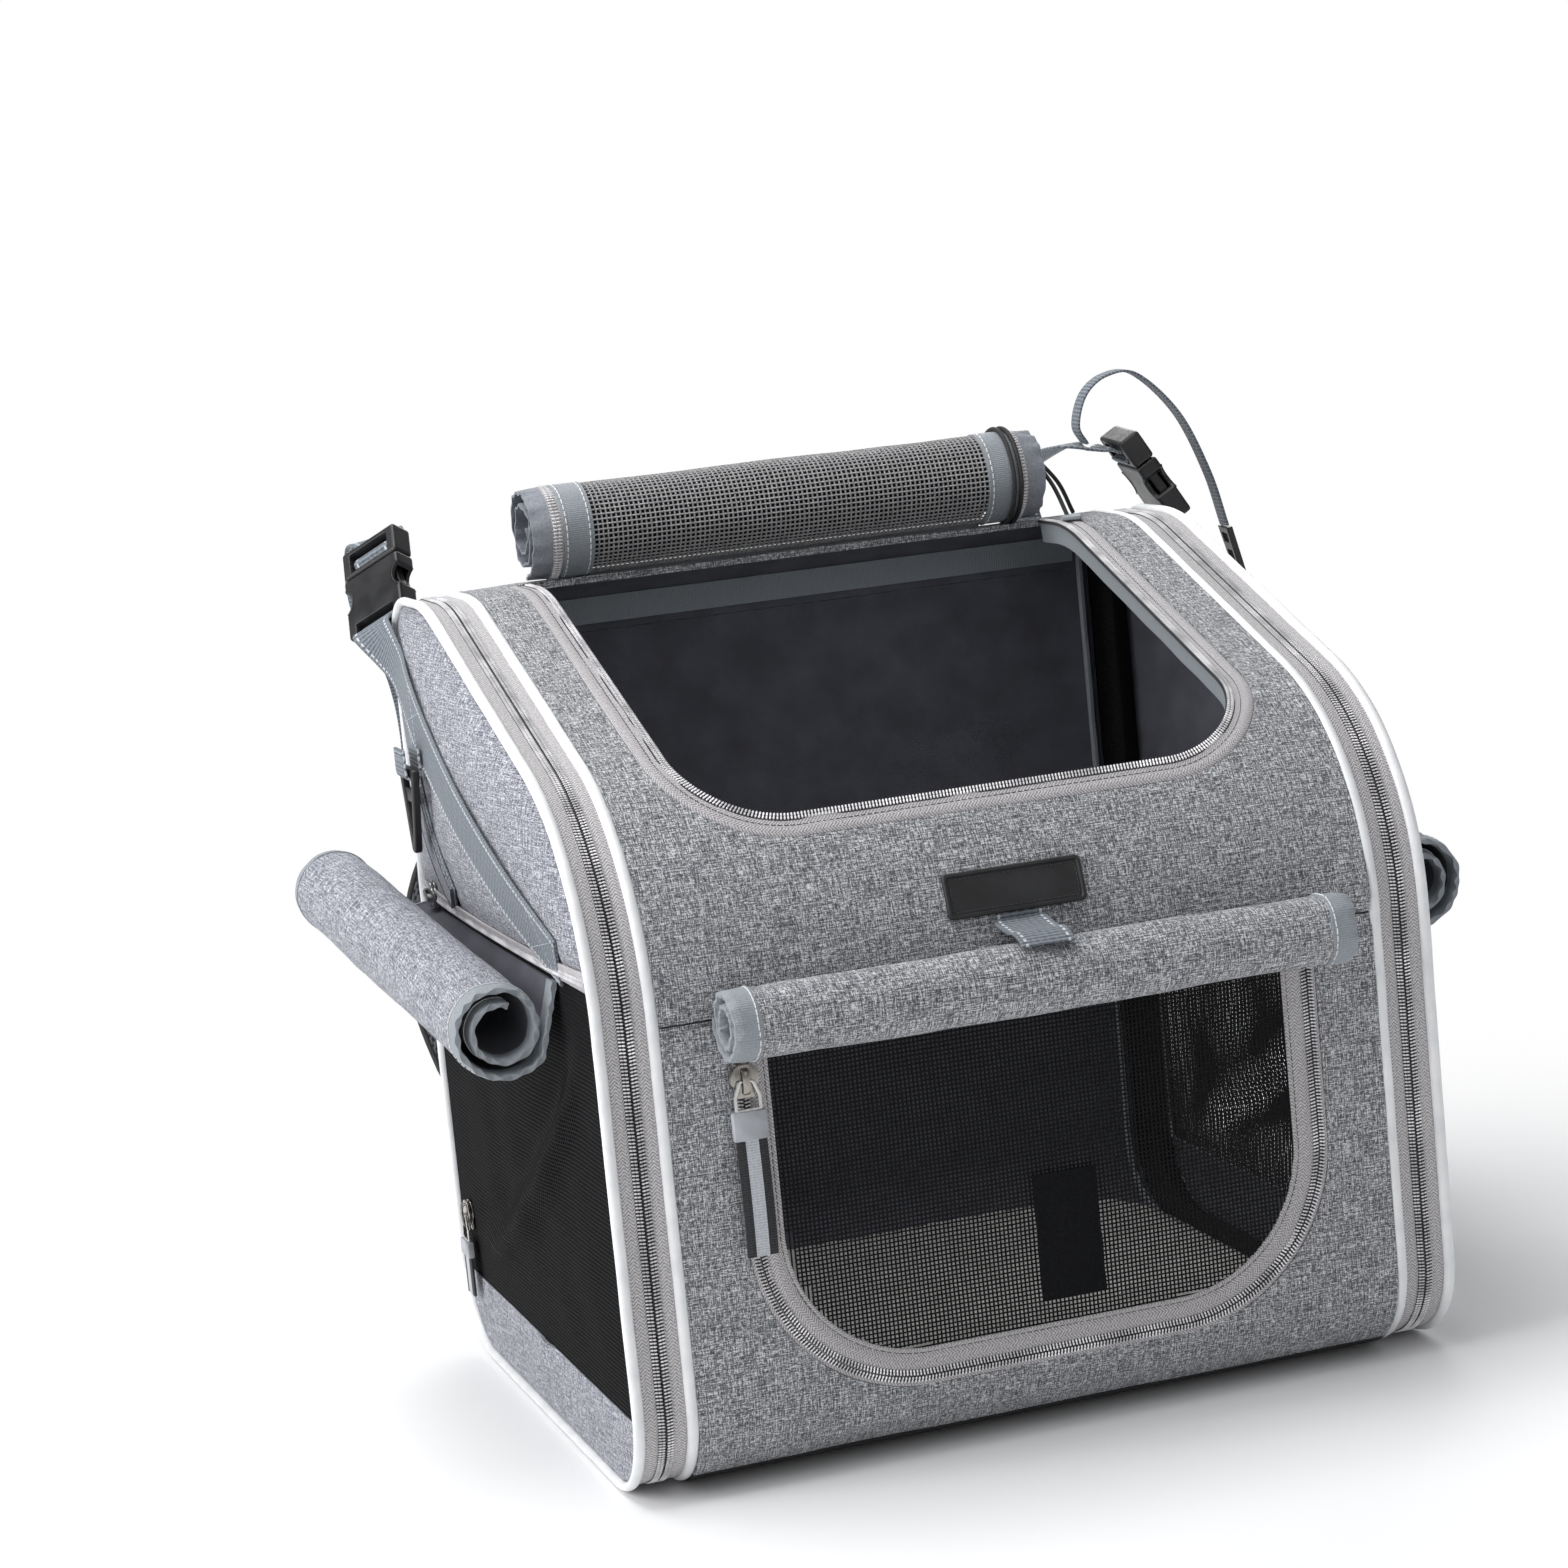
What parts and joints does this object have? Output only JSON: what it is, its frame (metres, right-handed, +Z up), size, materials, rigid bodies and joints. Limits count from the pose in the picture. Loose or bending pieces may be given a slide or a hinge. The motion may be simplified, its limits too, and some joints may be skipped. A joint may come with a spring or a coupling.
{
  "type": "dog bicycle basket",
  "caption": "Soft-sided expandable pet basket for a handlebar, with a mesh door, mesh side windows, rolled covers, an open top, side-release buckles and shoulder straps.",
  "frame": {"origin": "middle of the base, on the surface that it stands on", "axes": "the front panel with the mesh door faces -Y, +X is the right side seen from the front, +Z is up"},
  "size_m": [0.5398, 0.4476, 0.454],
  "materials": {
    "bottom_panel": "coated woven polyester",
    "front_lower_panel": "heathered woven polyester",
    "upper_panel": "heathered woven polyester",
    "back_panel": "heathered woven polyester",
    "left_inner_piping": "reflective piping",
    "right_inner_piping": "reflective piping",
    "left_inner_zip": "herringbone zip tape with nylon coil",
    "right_inner_zip": "herringbone zip tape with nylon coil",
    "left_hoop": "spring wire",
    "right_hoop": "spring wire",
    "left_gusset": "black mesh",
    "right_gusset": "black mesh",
    "doorway_zip": "herringbone zip tape with nylon coil",
    "blank_patch": "moulded rubber",
    "front_cover_roll": "heathered woven polyester",
    "front_cover_tab": "ribbed webbing",
    "opening_zip": "herringbone zip tape with nylon coil",
    "top_cover_roll": "black mesh",
    "top_cover_tie": "hook and loop tape",
    "base_board": "stiff sheet",
    "fleece_mat": "brushed fleece",
    "left_shoulder_strap": "air mesh over foam",
    "right_shoulder_strap": "air mesh over foam",
    "left_strap_adjuster": "moulded acetal",
    "right_strap_adjuster": "moulded acetal",
    "left_outer_piping": "reflective piping",
    "left_outer_zip": "herringbone zip tape with nylon coil",
    "left_side_panel": "heathered woven polyester",
    "left_side_strip": "heathered woven polyester",
    "left_side_net": "black mesh",
    "left_side_cover_roll": "heathered woven polyester",
    "left_carry_webbing": "ribbed webbing",
    "left_ring_webbing": "ribbed webbing",
    "left_buckle_female": "moulded acetal",
    "left_side_slider": "plated zinc",
    "left_d_ring": "moulded acetal",
    "left_side_pull": "moulded rubber",
    "left_buckle_male": "moulded acetal",
    "left_bar_webbing": "ribbed webbing",
    "right_outer_piping": "reflective piping",
    "right_outer_zip": "herringbone zip tape with nylon coil",
    "right_side_panel": "heathered woven polyester",
    "right_side_strip": "heathered woven polyester",
    "right_side_net": "black mesh",
    "right_side_cover_roll": "heathered woven polyester",
    "right_carry_webbing": "ribbed webbing",
    "right_ring_webbing": "ribbed webbing",
    "right_buckle_female": "moulded acetal",
    "right_side_slider": "plated zinc",
    "right_d_ring": "moulded acetal",
    "right_side_pull": "moulded rubber",
    "right_buckle_male": "moulded acetal",
    "right_bar_webbing": "ribbed webbing",
    "right_tail_strap": "ribbed webbing",
    "right_tail_clip": "moulded acetal",
    "door_zip": "herringbone zip tape with nylon coil",
    "door_net": "black mesh",
    "hook_patch": "hook and loop tape",
    "front_slider": "plated zinc",
    "front_pull": "ribbed ribbon with a moulded block"
  },
  "bodies": {
    "basket": {"bottom_panel": "bottom_panel", "front_lower_panel": "front_lower_panel", "upper_panel": "upper_panel", "back_panel": "back_panel", "left_inner_piping": "left_inner_piping", "right_inner_piping": "right_inner_piping", "left_inner_zip": "left_inner_zip", "right_inner_zip": "right_inner_zip", "left_hoop": "left_hoop", "right_hoop": "right_hoop", "left_gusset": "left_gusset", "right_gusset": "right_gusset", "doorway_zip": "doorway_zip", "blank_patch": "blank_patch", "front_cover_roll": "front_cover_roll", "front_cover_tab": "front_cover_tab", "opening_zip": "opening_zip", "top_cover_roll": "top_cover_roll", "top_cover_tie": "top_cover_tie", "base_board": "base_board", "fleece_mat": "fleece_mat", "left_shoulder_strap": "left_shoulder_strap", "right_shoulder_strap": "right_shoulder_strap", "left_strap_adjuster": "left_strap_adjuster", "right_strap_adjuster": "right_strap_adjuster"},
    "left_side": {"left_outer_piping": "left_outer_piping", "left_outer_zip": "left_outer_zip", "left_side_panel": "left_side_panel", "left_side_strip": "left_side_strip", "left_side_net": "left_side_net", "left_side_cover_roll": "left_side_cover_roll", "left_carry_webbing": "left_carry_webbing", "left_ring_webbing": "left_ring_webbing", "left_buckle_female": "left_buckle_female", "left_side_slider": "left_side_slider"},
    "left_ring": {"left_d_ring": "left_d_ring"},
    "left_pull": {"left_side_pull": "left_side_pull"},
    "left_buckle": {"left_buckle_male": "left_buckle_male", "left_bar_webbing": "left_bar_webbing"},
    "right_side": {"right_outer_piping": "right_outer_piping", "right_outer_zip": "right_outer_zip", "right_side_panel": "right_side_panel", "right_side_strip": "right_side_strip", "right_side_net": "right_side_net", "right_side_cover_roll": "right_side_cover_roll", "right_carry_webbing": "right_carry_webbing", "right_ring_webbing": "right_ring_webbing", "right_buckle_female": "right_buckle_female", "right_side_slider": "right_side_slider"},
    "right_ring": {"right_d_ring": "right_d_ring"},
    "right_pull": {"right_side_pull": "right_side_pull"},
    "right_buckle": {"right_buckle_male": "right_buckle_male", "right_bar_webbing": "right_bar_webbing", "right_tail_strap": "right_tail_strap", "right_tail_clip": "right_tail_clip"},
    "door": {"door_zip": "door_zip", "door_net": "door_net", "hook_patch": "hook_patch"},
    "slider": {"front_slider": "front_slider"},
    "slider_pull": {"front_pull": "front_pull"}
  },
  "joints": [
    {"name": "left_side_slide", "type": "slide", "parent": "basket", "child": "left_side", "axis": [-1, 0, 0], "range_m": [0, 0.045]},
    {"name": "right_side_slide", "type": "slide", "parent": "basket", "child": "right_side", "axis": [1, 0, 0], "range_m": [0, 0.045]},
    {"name": "left_ring_swing", "type": "hinge", "parent": "left_side", "child": "left_ring", "pos_m": [-0.21747, 0.07201, 0.308], "axis": [0, 1, 0], "range_deg": [0, 70]},
    {"name": "left_pull_swing", "type": "hinge", "parent": "left_side", "child": "left_pull", "pos_m": [-0.20253, 0.12997, 0.072], "axis": [0, 1, 0], "range_deg": [0, 70]},
    {"name": "left_buckle_release", "type": "slide", "parent": "left_side", "child": "left_buckle", "axis": [0.1391, 0.6278, 0.7658], "range_m": [0, 0.022]},
    {"name": "right_ring_swing", "type": "hinge", "parent": "right_side", "child": "right_ring", "pos_m": [0.21747, 0.07201, 0.308], "axis": [0, -1, 0], "range_deg": [0, 70]},
    {"name": "right_pull_swing", "type": "hinge", "parent": "right_side", "child": "right_pull", "pos_m": [0.20252, -0.13996, 0.098], "axis": [0, -1, 0], "range_deg": [0, 70]},
    {"name": "right_buckle_release", "type": "slide", "parent": "right_side", "child": "right_buckle", "axis": [-0.5209, 0.0094, 0.8535], "range_m": [0, 0.022]},
    {"name": "door_swing", "type": "hinge", "parent": "basket", "child": "door", "pos_m": [0, -0.1581, 0.1975], "axis": [-1, 0, 0], "range_deg": [0, 45]},
    {"name": "slider_travel", "type": "slide", "parent": "door", "child": "slider", "axis": [0, 0, -1], "range_m": [0, 0.06]},
    {"name": "slider_pull_swing", "type": "hinge", "parent": "slider", "child": "slider_pull", "pos_m": [-0.136, -0.16365, 0.186], "axis": [-1, 0, 0], "range_deg": [0, 70]}
  ]
}
